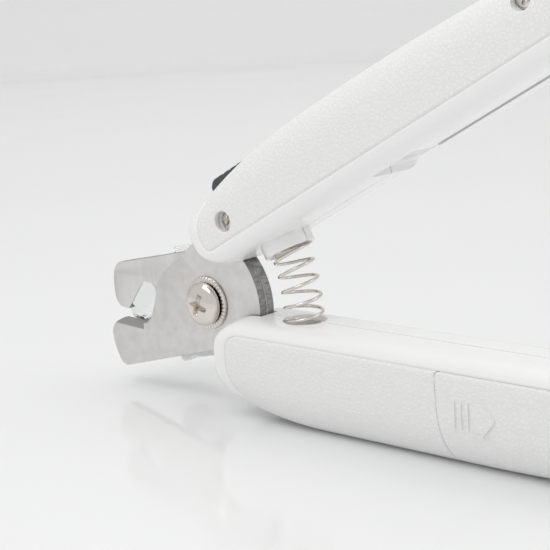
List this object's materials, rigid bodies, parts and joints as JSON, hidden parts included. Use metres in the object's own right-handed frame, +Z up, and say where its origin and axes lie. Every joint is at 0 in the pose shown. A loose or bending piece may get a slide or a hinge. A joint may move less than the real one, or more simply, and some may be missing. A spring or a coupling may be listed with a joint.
{
  "type": "pet nail clipper",
  "caption": "Plier-type pet nail clipper: two notched steel blades on one pivot, sprung white handles, slide lock, folding file, lamp and clippings catcher.",
  "frame": {"origin": "centre of the bounding box, on the surface that the lower handle lies on", "axes": "+X from the jaws to the handle ends, -Y the side with the pivot screw's head, +Z up, lower handle level"},
  "size_m": [0.1484, 0.0186, 0.0888],
  "materials": {
    "gloss_white": "smooth white moulded plastic, soft gloss",
    "grain_white": "white moulded plastic with a fine leather grain",
    "blade_steel": "satin stainless steel, dark sheared edges",
    "nickel": "bright nickel plate, slightly warm",
    "slate": "dark slate grey plastic, satin",
    "clear": "clear polycarbonate",
    "board_green": "green circuit board",
    "battery_wrap": "printed battery sleeve without text"
  },
  "bodies": {
    "lower_handle": {"lower_front_shell": "gloss_white", "lower_rear_shell": "gloss_white", "lower_front_grip": "grain_white", "lower_rear_grip": "grain_white", "rear_blade": "blade_steel", "pivot_screw": "nickel", "serrated_washer": "nickel", "pivot_nut": "nickel", "handle_spring": "nickel", "lower_nose_screw": "nickel", "lower_mid_screw": "nickel", "battery": "battery_wrap", "battery_contact_rear": "nickel", "battery_contact_front": "nickel", "circuit_board": "board_green", "tact_switch": "slate", "lamp_bezel": "gloss_white", "lamp_lens": "clear", "led": "clear", "catcher_rail": "gloss_white"},
    "upper_handle": {"upper_front_shell": "gloss_white", "upper_rear_shell": "gloss_white", "upper_front_grip": "grain_white", "upper_rear_grip": "grain_white", "front_blade": "blade_steel", "upper_nose_screw": "nickel", "upper_tail_screw": "nickel", "file_pin": "nickel"},
    "slide_lock": {"lock_slider": "slate", "lock_bolt": "nickel"},
    "file_blade": {"nail_file": "blade_steel"},
    "door": {"battery_door": "grain_white"},
    "lamp_switch": {"light_button": "slate"},
    "catcher": {"clippings_catcher": "clear"}
  },
  "joints": [
    {"name": "handle_pivot", "type": "hinge", "parent": "lower_handle", "child": "upper_handle", "pos_m": [-0.04378, -0.00035, 0.02115], "axis": [0, 1, 0], "range_deg": [0, 28], "stiffness_Nm_per_rad": 0.225, "springref_deg": -18.91, "deforming": ["handle_spring"]},
    {"name": "lock_slide", "type": "slide", "parent": "upper_handle", "child": "slide_lock", "axis": [-0.8829, 0, -0.4695], "range_m": [0, 0.0034]},
    {"name": "file_fold", "type": "hinge", "parent": "upper_handle", "child": "file_blade", "pos_m": [0.04738, -0.00035, 0.07868], "axis": [0, -1, 0], "range_deg": [0, 180]},
    {"name": "door_slide", "type": "slide", "parent": "lower_handle", "child": "door", "axis": [1, 0, 0], "range_m": [0, 0.05]},
    {"name": "switch_press", "type": "slide", "parent": "lower_handle", "child": "lamp_switch", "axis": [0, -1, 0], "range_m": [0, 0.0008], "stiffness_N_per_m": 300, "springref_m": -0.0004},
    {"name": "catcher_slide", "type": "slide", "parent": "lower_handle", "child": "catcher", "axis": [-0.9703, 0, -0.2419], "range_m": [0, 0.025]}
  ]
}
